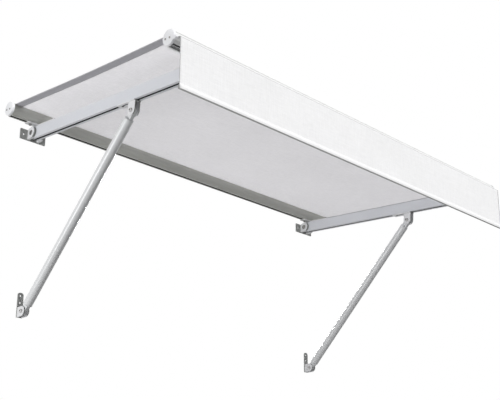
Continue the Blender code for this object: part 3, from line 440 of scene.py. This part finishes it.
def darken_foot_slots(paint):
    """Darkens the foot slot of both tubes, and its narrower mouth, with painted shade."""
    along = paint.about_pair(paint.measure(Y), -REAR_REACH - RUN.length / 2, RUN.length / 2)
    bottom, top = AXIS_HEIGHT + SLOT_LOW, AXIS_HEIGHT + SLOT_HIGH
    paint.darken(paint.between(along, -SLOT_HALF, SLOT_HALF),
                 paint.between(paint.measure(Z), bottom, top))
    paint.darken(paint.between(along, -SLOT_MOUTH_HALF, SLOT_MOUTH_HALF),
                 paint.maths("LESS_THAN", paint.measure(Z), bottom))


def bracket_metal(name, colour, roughness, plate_shade=None):
    """Coated metal of a bracket. Its plate on the wall is painted with the last argument's colour,
    as shade.

    The faces that face along -y, such as the front edges of the ears, are painted darker as shade.
    """
    paint = Paint(name, colour, roughness)
    facing = paint.split(paint.node("ShaderNodeNewGeometry").outputs["Normal"])
    # Painted shade on the faces that face along -y
    paint.tint(paint.maths("LESS_THAN", facing[Y], EDGE_FACING), EDGE_PAINTED_SHADE)
    if plate_shade is not None:
        # Painted shade: the plate on the wall is darkened
        depth = paint.split(paint.place)[Y]
        paint.tint(paint.maths("GREATER_THAN", depth, PLATE_FRONT), plate_shade)
    paint.shade(paint.noise(scale=28.0, detail=4.0), amount=0.03)
    paint.shade(paint.noise(scale=380.0), amount=0.02)
    paint.gloss(paint.noise(scale=60.0, detail=4.0), amount=0.08)
    paint.bump(paint.noise(scale=700.0, detail=3.0), depth=0.000015)
    return paint.done()


def cast_metal(name, colour, roughness):
    """Coated die-cast metal: a slight grain and soft flow marks."""
    paint = Paint(name, colour, roughness)
    paint.shade(paint.noise(scale=50.0, detail=5.0), amount=0.04)
    paint.gloss(paint.noise(scale=90.0, detail=3.0), amount=0.08)
    paint.bump(paint.noise(scale=900.0, detail=4.0), depth=0.00002)
    paint.bump(paint.noise(scale=60.0), depth=0.00010)
    return paint.done()


def zinc_plate(name, colour, roughness, socket_bolts=()):
    """Zinc-plated steel with yellowish patches. socket_bolts get painted shade where the socket in
    their heads is.
    """
    paint = Paint(name, colour, roughness, metallic=1.0)
    paint.shade(paint.noise(scale=220.0, detail=5.0), amount=0.10)
    patches = paint.spread(paint.noise(scale=90.0, detail=3.0), low=0.0, high=0.25)
    paint.tint(patches, ZINC_YELLOW)
    paint.gloss(paint.noise(scale=300.0, detail=4.0), amount=0.12)
    paint.bump(paint.noise(scale=1500.0, detail=3.0), depth=0.00001)
    # Painted shade in the bolts' sockets
    for bolt in socket_bolts:
        paint.dark_spot(bolt, SOCKET_RADIUS)
    return paint.done()


def moulded_plastic(name, colour, roughness):
    """Moulded plastic with a fine spark-eroded grain."""
    paint = Paint(name, colour, roughness)
    paint.shade(paint.noise(scale=14.0, detail=3.0), amount=0.012)
    paint.gloss(paint.noise(scale=120.0, detail=3.0), amount=0.05)
    paint.bump(paint.noise(scale=1300.0), depth=0.00005)
    return paint.done()


def woven_cloth(name, colour, pitch, through, warp=X, weft=Y, shade_lines=()):
    """Awning cloth: a fine plain weave with slubs. through is the share of light let through.

    The last argument holds the bands, as an axis with its lowest and highest value, where shade is
    painted darker.
    """
    paint = Paint(name, colour, roughness=0.85)
    paint.shader.inputs["Sheen Weight"].default_value = 0.08
    paint.shader.inputs["Specular IOR Level"].default_value = 0.25
    threads = paint.maths("MULTIPLY", paint.bands(warp, pitch), paint.bands(weft, pitch))
    paint.shade(paint.spread(threads, low=0.3, high=0.7, start=0.0, end=1.0), amount=0.05)
    for axis in (warp, weft):
        slubs = paint.streaks(axis, scale=420.0, stretch=0.045, detail=3.0)
        paint.shade(slubs, amount=0.030)
    paint.shade(paint.noise(scale=60.0, detail=5.0, roughness=0.65), amount=0.018)
    paint.shade(paint.noise(scale=3.0), amount=0.012)
    # Painted shade: dark lines in the given bands
    for axis, low, high in shade_lines:
        band = paint.between(paint.split(paint.place)[axis], low, high)
        paint.tint(paint.maths("MULTIPLY", band, LINE_SHADE_SHARE), LINE_SHADE_COLOUR)
    paint.bump(threads, depth=0.00012)
    paint.bump(paint.noise(scale=9.0), depth=0.0006)
    if through > 0:
        paint.let_through(through)
    return paint.done()


STRUT_COAT = powder_coat("strut_coat", (0.74, 0.75, 0.76), roughness=0.26)
FRONT_TUBE_COAT = powder_coat("front_tube_coat", (0.78, 0.785, 0.78), 0.38, X, "tube")
# Painted shade: the rear tube has the front tube's coat, painted darker for the shade on its
# underside
REAR_TUBE_SHADED_COAT = powder_coat("rear_tube_shaded_coat", (0.53, 0.535, 0.50), 0.38, X, "tube")
RAIL_COAT = powder_coat("rail_coat", (0.67, 0.685, 0.72), 0.42, Y, "rail")
PLATE_COAT = powder_coat("plate_coat", (0.72, 0.72, 0.72), roughness=0.45)
BRACKET_COAT = bracket_metal("bracket_coat", (0.74, 0.745, 0.76), 0.46, PLATE_PAINTED_SHADE)
CLEVIS_COAT = bracket_metal("clevis_coat", (0.75, 0.755, 0.77), roughness=0.42)
CASTING_COAT = cast_metal("casting_coat", (0.70, 0.71, 0.72), roughness=0.36)
# Painted shade: the knuckles are coloured dark grey for the shade between the brackets' ears and
# the rails
KNUCKLE_SHADE_COAT = cast_metal("knuckle_shade_coat", (0.24, 0.245, 0.25), roughness=0.45)
CAP_PLASTIC = moulded_plastic("cap_plastic", (0.83, 0.835, 0.855), roughness=0.40)
STEEL = zinc_plate("zinc_plate", (0.26, 0.26, 0.27), roughness=0.36)
SOCKET_STEEL = zinc_plate("socket_steel", (0.48, 0.48, 0.49), 0.45, SOCKET_BOLTS)
COVER_CLOTH = woven_cloth("cover_cloth", (0.86, 0.855, 0.865), WEAVE_PITCH, through=0.5)
HEM_CLOTH = woven_cloth("hem_cloth", (0.60, 0.595, 0.63), WEAVE_PITCH, through=0.2)
# Painted shade on the valance: the crease below the nose, and the bottom, left and right cut edges
VALANCE_SHADE_LINES = (
    (Z, CREASE_TOP - CREASE_WIDTH, CREASE_TOP),
    (Z, VALANCE_LOW.z, VALANCE_LOW.z + EDGE_WIDTH),
    (X, VALANCE_LOW.x, VALANCE_LOW.x + EDGE_WIDTH),
    (X, VALANCE_HIGH.x - RIGHT_EDGE_WIDTH, VALANCE_HIGH.x),
)
VALANCE_CLOTH = woven_cloth("valance_cloth", (0.93, 0.93, 0.935), WEAVE_PITCH, 0.0,
                            warp=X, weft=Z, shade_lines=VALANCE_SHADE_LINES)
THREAD = woven_cloth("thread", (0.80, 0.80, 0.80), TWIST_PITCH, through=0.0)

# The first key that a node's name holds gives its finish
FINISHES = (
    ("slider_bolt", SOCKET_STEEL),
    ("lower_bolt", SOCKET_STEEL),
    ("_screw_", STEEL),
    ("bolt", STEEL),
    ("weight_bar", STEEL),
    ("strut_tube", STRUT_COAT),
    ("front_tube", FRONT_TUBE_COAT),
    ("rear_tube", REAR_TUBE_SHADED_COAT),
    ("knuckle", KNUCKLE_SHADE_COAT),
    ("_cap", CAP_PLASTIC),
    ("strut_head", CASTING_COAT),
    ("strut_foot", CASTING_COAT),
    ("_plate", PLATE_COAT),
    ("bracket", BRACKET_COAT),
    ("slider", CLEVIS_COAT),
    ("rail", RAIL_COAT),
    ("fabric", COVER_CLOTH),
    ("valance", VALANCE_CLOTH),
)


def finish_of(name):
    return next(finish for key, finish in FINISHES if key in name)


def dress_nodes():
    """Gives each CAD node its material, smooth rounds and slightly broken edges."""
    for name, item in NODES.items():
        for place in item.material_slots:
            place.material = finish_of(name)
        mesh = item.data
        if "custom_normal" in mesh.attributes:
            mesh.attributes.remove(mesh.attributes["custom_normal"])
        mesh.shade_smooth()
        weld = item.modifiers.new("weld", "WELD")
        weld.merge_threshold = MERGE_DISTANCE
        edge = item.modifiers.new("broken_edge", "BEVEL")
        edge.width = FASTENER_EDGE if "bolt" in name or "screw" in name else BROKEN_EDGE
        edge.segments = EDGE_SEGMENTS
        edge.limit_method = "ANGLE"
        edge.angle_limit = EDGE_ANGLE
        edge.harden_normals = True


# Meshes and pieces


def add_to_scene(item):
    bpy.context.scene.collection.objects.link(item)
    return item


def piece(name, mesh, material):
    """A new piece of the canopy, drawn in the canopy frame and put in the row frame."""
    mesh.transform(CANOPY)
    mesh.materials.append(material)
    mesh.shade_smooth()
    item = add_to_scene(bpy.data.objects.new(name, mesh))
    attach(item, "canopy")
    return item


def mesh_from(work, name):
    """The finished bmesh as a mesh."""
    mesh = bpy.data.meshes.new(name)
    work.to_mesh(mesh)
    work.free()
    return mesh


def point_grid(work, place, columns, rows, lift):
    """Rows of vertices on the surface place(u, v), raised by lift."""
    grid = []
    for j in range(rows + 1):
        line = []
        for i in range(columns + 1):
            point = place(i / columns, j / rows)
            point.z += lift
            line.append(work.verts.new(point))
        grid.append(line)
    return grid


def sheet_mesh(name, place, columns, rows, thickness):
    """A thin closed sheet about the surface place(u, v), with u and v from 0 to 1."""
    work = bmesh.new()
    top = point_grid(work, place, columns, rows, thickness / 2)
    under = point_grid(work, place, columns, rows, -thickness / 2)
    for j in range(rows):
        for i in range(columns):
            work.faces.new((top[j][i], top[j][i + 1], top[j + 1][i + 1], top[j + 1][i]))
            work.faces.new((under[j][i], under[j + 1][i], under[j + 1][i + 1], under[j][i + 1]))
    rim = [(0, i) for i in range(columns)]
    rim += [(j, columns) for j in range(rows)]
    rim += [(rows, i) for i in range(columns, 0, -1)]
    rim += [(j, 0) for j in range(rows, 0, -1)]
    for (j, i), (l, k) in zip(rim, rim[1:] + rim[:1]):
        work.faces.new((top[j][i], under[j][i], under[l][k], top[l][k]))
    bmesh.ops.recalc_face_normals(work, faces=work.faces)
    return mesh_from(work, name)


def skin_rings(work, rings):
    """Joins closed rings of equal count with faces, and closes both ends."""
    count = len(rings[0])
    for near, far in zip(rings, rings[1:]):
        for k in range(count):
            n = (k + 1) % count
            work.faces.new((near[k], near[n], far[n], far[k]))
    work.faces.new(rings[0][::-1])
    work.faces.new(rings[-1])


def swept_mesh(name, ring, columns, move):
    """A ring of (y, z) points swept along x from 0 to 1, each point placed by move(u, y, z)."""
    work = bmesh.new()
    rings = []
    for i in range(columns + 1):
        rings.append([work.verts.new(move(i / columns, y, z)) for y, z in ring])
    skin_rings(work, rings)
    bmesh.ops.recalc_face_normals(work, faces=work.faces)
    return mesh_from(work, name)


def bead_ring():
    """The section of an edge bead about its middle, in y and z."""
    turns = [2 * math.pi * k / BEAD_SIDES for k in range(BEAD_SIDES)]
    return [(BEAD_RADIUS * math.cos(turn), BEAD_RADIUS * math.sin(turn)) for turn in turns]


def add_stitch(work, place, along, inward):
    """One thread loop: a low bridge that dips into the cloth at both ends."""
    side = along.cross(inward)
    rings = []
    for step, girth, proud in STITCH_RINGS:
        centre = place + along * step * STITCH_LENGTH - inward * proud * STITCH_RADIUS
        ring = []
        for k in range(STITCH_SIDES):
            turn = 2 * math.pi * k / STITCH_SIDES
            offset = side * math.cos(turn) + inward * math.sin(turn)
            ring.append(work.verts.new(centre + offset * STITCH_RADIUS * girth))
        rings.append(ring)
    skin_rings(work, rings)


def stitch_piece(name, places, along, inward):
    """Stitches at the places, each running along and sunk inward, as one piece."""
    work = bmesh.new()
    for place in places:
        add_stitch(work, place, along, inward)
    return piece(name, mesh_from(work, name), THREAD)


def stitch_distances(length, start):
    """How far along an edge of the given length each stitch lies, with start bare at both ends."""
    count = int((length - 2 * start) / STITCH_PITCH)
    return [start + k * STITCH_PITCH for k in range(count)]


# Cover


def cover_point(across, along):
    """A point of the stretched cover: across in metres from its middle, along from 0 to 1."""
    rear_gap = along * COVER_LENGTH
    front_gap = (1 - along) * COVER_LENGTH
    held = min(1.0, min(rear_gap, front_gap) / HELD_REACH)
    near = math.exp(-rear_gap / PUCKER_REACH) + math.exp(-front_gap / PUCKER_REACH)
    drift = PUCKER_DRIFT * math.sin(across * PUCKER_DRIFT_RATE)
    wave = math.sin(2 * math.pi * across / PUCKER_PITCH + drift)
    spot = Vector((across * SOFTNESS_SCALE, along * SOFTNESS_SCALE, SOFTNESS_SEED))
    soft = noise.noise(spot) * SOFTNESS
    pull = math.sin(math.pi * along)
    height = COVER_HEIGHT - COVER_SAG * pull + held * (PUCKER * near * wave + soft * pull)
    narrow = 1 - EDGE_PULL * pull / COVER_HALF
    return Vector((across * narrow, COVER_REAR - along * COVER_LENGTH, height))


def make_cover_bead(name, reach):
    """The bead on the cover's rear or front edge, at y = reach in the canopy frame."""
    def move(u, y, z):
        return Vector(((2 * u - 1) * COVER_HALF, reach + y, COVER_HEIGHT + z))

    return piece(name, swept_mesh(name, bead_ring(), 2, move), COVER_CLOTH)


def make_hem(name, side, drop):
    """The doubled strip under a side edge, its middle drop below the cover's."""
    inset = HEM_END_INSET / COVER_LENGTH

    def hem_point(u, v):
        across = side * (COVER_HALF - HEM_SIDE_INSET - u * HEM_WIDTH)
        point = cover_point(across, inset + v * (1 - 2 * inset))
        point.z -= drop
        return point

    mesh = sheet_mesh(name, hem_point, HEM_COLUMNS, COVER_ROWS, HEM_THICKNESS)
    return piece(name, mesh, HEM_CLOTH)


def make_hem_stitches(name, side, drop):
    """Two rows of lockstitch along a side hem, on its under side, drop below the cover."""
    places = []
    for inset in (COVER_STITCH_INSET, HEM_WIDTH - COVER_STITCH_INSET):
        for distance in stitch_distances(COVER_LENGTH, COVER_STITCH_START):
            point = cover_point(side * (COVER_HALF - inset), distance / COVER_LENGTH)
            places.append(point - Vector((0, 0, drop)))
    return stitch_piece(name, places, Vector((0, 1, 0)), Vector((0, 0, 1)))


def make_cover():
    """The cover with its beads and side hems."""
    mesh = sheet_mesh("cover", lambda u, v: cover_point((2 * u - 1) * COVER_HALF, v),
                      COVER_COLUMNS, COVER_ROWS, COVER_THICKNESS)
    cover = piece("cover_sheet", mesh, COVER_CLOTH)
    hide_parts("fabric_cover")
    parts = [make_cover_bead("cover_bead_rear", COVER_REAR),
             make_cover_bead("cover_bead_front", COVER_FRONT)]
    drop = (COVER_THICKNESS + HEM_THICKNESS) / 2 + HEM_GAP
    for name, side in (("left", -1), ("right", 1)):
        parts.append(make_hem(f"cover_hem_{name}", side, drop))
        under = drop + HEM_THICKNESS / 2
        parts.append(make_hem_stitches(f"cover_stitches_{name}", side, under))


# Valance


def heading_vector(turn):
    """The unit vector in y and z at an angle from +y."""
    return Vector((math.cos(turn), math.sin(turn)))


def signed_power(value, power):
    return math.copysign(abs(value) ** power, value)


def valance_path(pocket_top):
    """The valance's middle line in y and z: out of the nose, round the bend and down plumb.

    It starts at the nose's middle and ends at the pocket. With it come the plumb stretch's y
    and the z where that stretch starts.
    """
    heading = math.pi + SLOPE
    start = heading_vector(heading) * NOSE_RADIUS
    centre = start + heading_vector(heading + math.pi / 2) * BEND_RADIUS
    path = [Vector((-BEAD_RADIUS * BEAD_OVERLAP, 0)), start]
    for k in range(1, BEND_STEPS + 1):
        turn = heading - math.pi / 2 + (math.pi / 2 - SLOPE) * k / BEND_STEPS
        path.append(centre + heading_vector(turn) * BEND_RADIUS)
    face, top = path[-1]
    for k in range(1, VALANCE_ROWS + 1):
        path.append(Vector((face, top + (pocket_top - top) * k / VALANCE_ROWS)))
    return path, face, top


def pocket_outline(face, bottom):
    """The pocket round the weight bar, from its front top round below to its back top."""
    outline = []
    for k in range(1, POCKET_SIDES):
        turn = math.pi / 2 + 2 * math.pi * k / POCKET_SIDES
        out = POCKET_DEPTH / 2 * POCKET_FILLED * signed_power(math.cos(turn), POCKET_POWER_ACROSS)
        rise = POCKET_HEIGHT / 2 * (1 + signed_power(math.sin(turn), POCKET_POWER_UP))
        outline.append(Vector((face + out, bottom + rise)))
    return outline


def valance_outline(path, pocket):
    """Both sides of the cloth along the path, with the pocket between them at the bottom."""
    half = VALANCE_THICKNESS / 2
    front, back = [], []
    for k, point in enumerate(path):
        after, before = path[min(k + 1, len(path) - 1)], path[max(k - 1, 0)]
        run = (after - before).normalized()
        normal = Vector((-run.y, run.x))
        front.append(point - normal * half)
        back.append(point + normal * half)
    return [tuple(point) for point in front + pocket + back[::-1]]


def make_valance():
    """The valance with its bead, its bar pocket and one row of stitches above the pocket."""
    nose = Vector((0, -REAR_REACH - RUN.length - NOSE_REACH, AXIS_HEIGHT - NOSE_DROP))
    upright = Matrix.Rotation(-SLOPE, 3, "X")
    drop = (CANOPY @ nose).z - VALANCE_LOW.z
    pocket_top = -drop + POCKET_HEIGHT
    path, face, top = valance_path(pocket_top)
    ring = valance_outline(path, pocket_outline(face, -drop))

    def ripple(across, z):
        height = min(1.0, max(0.0, (top - z) / (top - pocket_top)))
        wide = math.sin(across * WIDE_WAVE_RATE + WIDE_WAVE_START)
        narrow = math.sin(across * NARROW_WAVE_RATE + z * NARROW_WAVE_LEAN)
        return RIPPLE * math.sin(math.pi * height) * (wide + NARROW_WAVE_SHARE * narrow)

    def move(u, y, z):
        across = (2 * u - 1) * COVER_HALF
        swell = ripple(across, z) if z < top else 0.0
        return nose + upright @ Vector((across, y + swell, z))

    mesh = swept_mesh("valance", ring, VALANCE_COLUMNS, move)
    valance = piece("valance_sheet", mesh, VALANCE_CLOTH)
    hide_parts("valance")
    bead = piece("valance_bead", swept_mesh("bead", bead_ring(), 2, move), VALANCE_CLOTH)
    width = 2 * COVER_HALF
    places = [move(distance / width, face - VALANCE_THICKNESS / 2,
                   pocket_top + VALANCE_STITCH_RISE)
              for distance in stitch_distances(width, VALANCE_STITCH_START)]
    stitches = stitch_piece("valance_stitches", places, Vector((1, 0, 0)),
                            upright @ Vector((0, 1, 0)))


# Surroundings


def seen_level(tree, bounced, seen):
    """The level seen by camera, gloss and glass, and bounced for light that bounces."""
    path = tree.nodes.new("ShaderNodeLightPath")
    share = path.outputs["Is Camera Ray"]
    for ray in ("Is Glossy Ray", "Is Transmission Ray"):
        either = tree.nodes.new("ShaderNodeMath")
        either.operation = "MAXIMUM"
        tree.links.new(share, either.inputs[0])
        tree.links.new(path.outputs[ray], either.inputs[1])
        share = either.outputs[0]
    level = tree.nodes.new("ShaderNodeMapRange")
    level.inputs["To Min"].default_value = bounced
    level.inputs["To Max"].default_value = seen
    tree.links.new(share, level.inputs["Value"])
    return level.outputs[0]


def make_world():
    """A white world, which lights the awning at a lower level than it shows."""
    world = bpy.data.worlds.new("studio")
    bpy.context.scene.world = world
    world.use_nodes = True
    tree = world.node_tree
    background = tree.nodes["Background"]
    background.inputs["Color"].default_value = (1.0, 1.0, 1.0, 1.0)
    tree.links.new(seen_level(tree, WORLD_LEVEL, WORLD_SEEN), background.inputs["Strength"])


def make_floor():
    """A pale floor well below the awning. It shows pale, and bounces only a little light."""
    mesh = bpy.data.meshes.new("floor")
    half = FLOOR_SIZE / 2
    height = CAD_BOX[0].z - FLOOR_DROP
    corners = [(-half, -half, height), (half, -half, height), (half, half, height),
               (-half, half, height)]
    mesh.from_pydata(corners, [], [(0, 1, 2, 3)])
    floor = add_to_scene(bpy.data.objects.new("floor", mesh))
    material = bpy.data.materials.new("floor")
    material.use_nodes = True
    tree = material.node_tree
    shader = tree.nodes["Principled BSDF"]
    shader.inputs["Roughness"].default_value = FLOOR_ROUGHNESS
    shader.inputs["Specular IOR Level"].default_value = 0.0
    tree.links.new(seen_level(tree, FLOOR_BOUNCE, FLOOR_SEEN), shader.inputs["Base Color"])
    mesh.materials.append(material)


def make_sun(name, level, source, width):
    """A sun that lights a face square to it at the given level."""
    light = bpy.data.lights.new(name, "SUN")
    light.energy = level * math.pi
    light.angle = math.radians(width)
    lamp = add_to_scene(bpy.data.objects.new(name, light))
    lamp.rotation_euler = Vector(source).to_track_quat("Z", "Y").to_euler()


def make_softbox(name, level, place, target, size):
    """A square lamp that lights a face square to it at the given level where its target is."""
    light = bpy.data.lights.new(name, "AREA")
    light.shape = "SQUARE"
    light.size = size
    run = Vector(place) - Vector(target)
    light.energy = level * (math.pi * run.length) ** 2
    lamp = add_to_scene(bpy.data.objects.new(name, light))
    lamp.location = place
    lamp.rotation_euler = run.to_track_quat("Z", "Y").to_euler()
    lamp.visible_camera = False


def make_camera():
    """The camera, pitched up by CAMERA_PITCH and turned from +y towards +x by its heading."""
    data = bpy.data.cameras.new("camera")
    data.lens = CAMERA_LENS
    data.sensor_width = CAMERA_SENSOR
    data.shift_y = CAMERA_SHIFT
    camera = add_to_scene(bpy.data.objects.new("camera", data))
    camera.location = CAMERA_PLACE
    camera.rotation_euler = (math.pi / 2 + CAMERA_PITCH, 0.0, -CAMERA_HEADING)
    bpy.context.scene.camera = camera


make_camera()
dress_nodes()
make_cover()
make_valance()
make_world()
make_floor()
make_softbox("key", KEY_LEVEL, KEY_PLACE, KEY_TARGET, KEY_SIZE)
for sun in SUNS:
    make_sun(*sun)
bpy.context.scene.view_settings.view_transform = "Standard"
